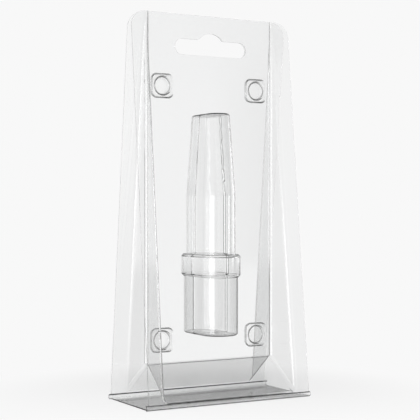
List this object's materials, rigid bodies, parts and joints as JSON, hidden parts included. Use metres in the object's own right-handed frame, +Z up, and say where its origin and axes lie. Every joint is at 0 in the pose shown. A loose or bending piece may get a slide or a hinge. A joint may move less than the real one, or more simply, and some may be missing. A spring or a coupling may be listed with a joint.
{
  "type": "trifold blister pack",
  "caption": "Clear thermoformed folding clamshell: hinged front and back halves stand on a flat base panel and snap together round a slim product cavity, under a hang slot.",
  "frame": {"origin": "middle of the pack's footprint, on the plane that it stands on", "axes": "+Z up to the hang slot, +X along the hinges, -Y to the front half"},
  "size_m": [0.0728, 0.034, 0.1507],
  "materials": {
    "clear_film": "water-clear thermoformed PET film, 0.4 mm thick, glossy on both sides"
  },
  "bodies": {
    "base": {"base_panel": "clear_film"},
    "front_half": {"front_shell": "clear_film"},
    "back_half": {"back_shell": "clear_film"}
  },
  "joints": [
    {"name": "front_hinge", "type": "hinge", "parent": "base", "child": "front_half", "pos_m": [0, -0.016, 0.001], "axis": [1, 0, 0], "range_deg": [0, 91.5]},
    {"name": "back_hinge", "type": "hinge", "parent": "base", "child": "back_half", "pos_m": [0, 0.016, 0.001], "axis": [-1, 0, 0], "range_deg": [0, 91.5]}
  ]
}
